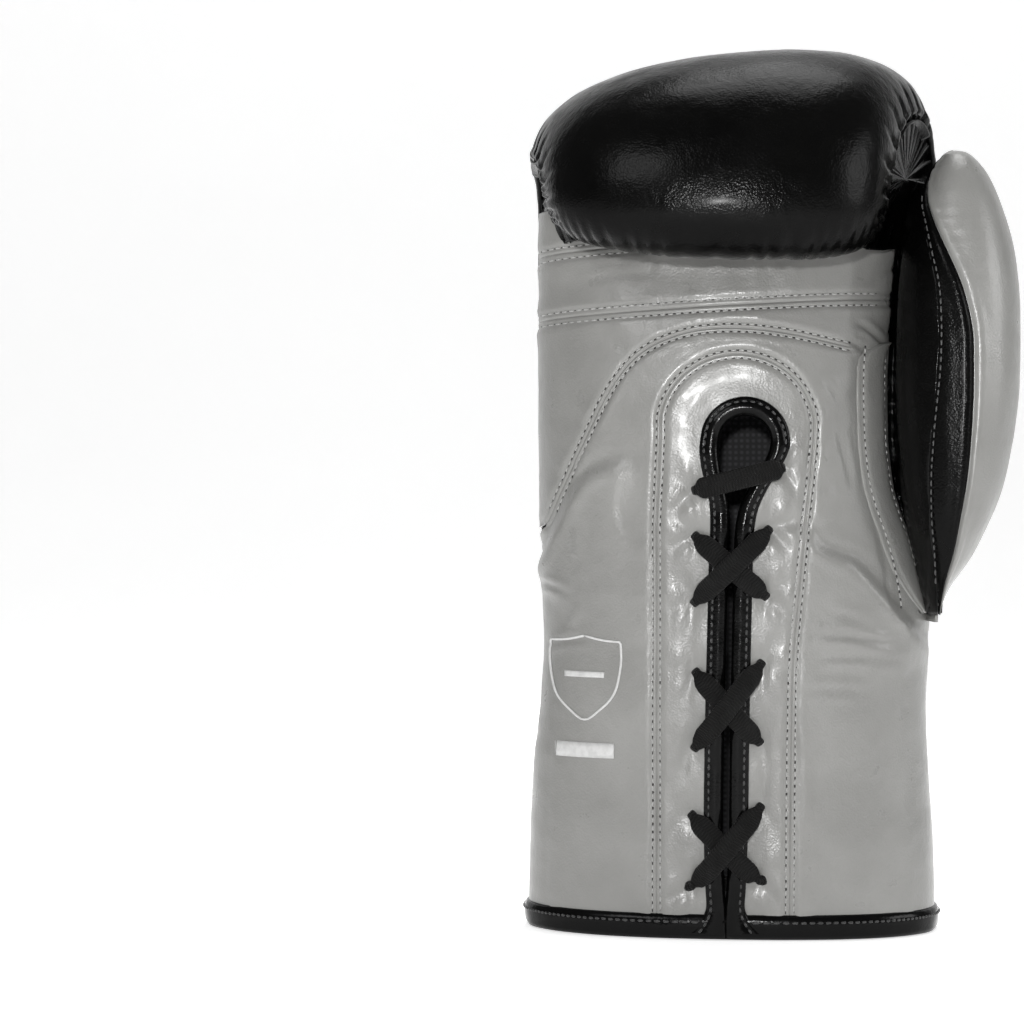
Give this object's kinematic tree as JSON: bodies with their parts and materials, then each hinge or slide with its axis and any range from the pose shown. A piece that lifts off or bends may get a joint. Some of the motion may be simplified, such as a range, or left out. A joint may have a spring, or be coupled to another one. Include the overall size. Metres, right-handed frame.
{
  "type": "boxing glove",
  "caption": "Right-hand lace-up boxing glove with a curled padded fist, attached thumb, laced cuff and a moulded wrist badge.",
  "frame": {"origin": "middle of the hem's underside, under the centre of the glove's box", "axes": "+Z from the hem up to the knuckles, the palm and the lacing face -Y, the back of the hand faces +Y, the thumb is on +X"},
  "size_m": [0.1817, 0.1463, 0.3231],
  "materials": {
    "grey_leather": "mid grey grained leather with a satin gloss, light grey double stitching",
    "black_leather": "black grained leather, semi-gloss",
    "foam": "closed-cell foam sheet, matt",
    "lining": "black knitted lining cloth, matt",
    "stay": "woven reinforcing tape behind the lace holes",
    "badge": "moulded glossy rubber with a raised rim",
    "lace": "flat braided black lace",
    "lace_tip": "clear-coated black lace tip",
    "thread": "waxed polyester sewing thread, light grey",
    "black_thread": "waxed polyester sewing thread, black",
    "print": "white screen print"
  },
  "bodies": {
    "glove": {"hem_binding": "black_leather", "slit_binding": "black_leather", "lace_facing": "grey_leather", "lace_stays": "stay", "palm_lower_panel": "grey_leather", "palm_upper_panel": "grey_leather", "palm_band": "grey_leather", "palm_top_panel": "grey_leather", "thumb_seam_strip": "grey_leather", "thumb_web": "black_leather", "back_panel": "black_leather", "fist_under_panel": "black_leather", "curl_gussets": "black_leather", "wrist_crease_band": "black_leather", "wrist_panel": "black_leather", "wrist_badge": "badge", "pad_outer_layer": "foam", "pad_middle_layer": "foam", "pad_inner_layer": "foam", "palm_pad": "foam", "cuff_pads": "foam", "wrist_pad": "foam", "cuff_lining": "lining", "hand_lining": "lining", "grip_bar": "foam", "grip_bar_cover": "lining", "thumb_keeper": "black_leather", "lace": "lace", "lace_tips": "lace_tip"},
    "thumb": {"thumb_outer_panel": "grey_leather", "thumb_inner_panel": "black_leather", "thumb_pad": "foam", "thumb_lining": "lining"}
  },
  "joints": [
    {"name": "thumb_flex", "type": "hinge", "parent": "glove", "child": "thumb", "pos_m": [0.061, -0.011, 0.124], "axis": [0, 1, 0], "range_deg": [0, 10], "stiffness_Nm_per_rad": 4}
  ]
}
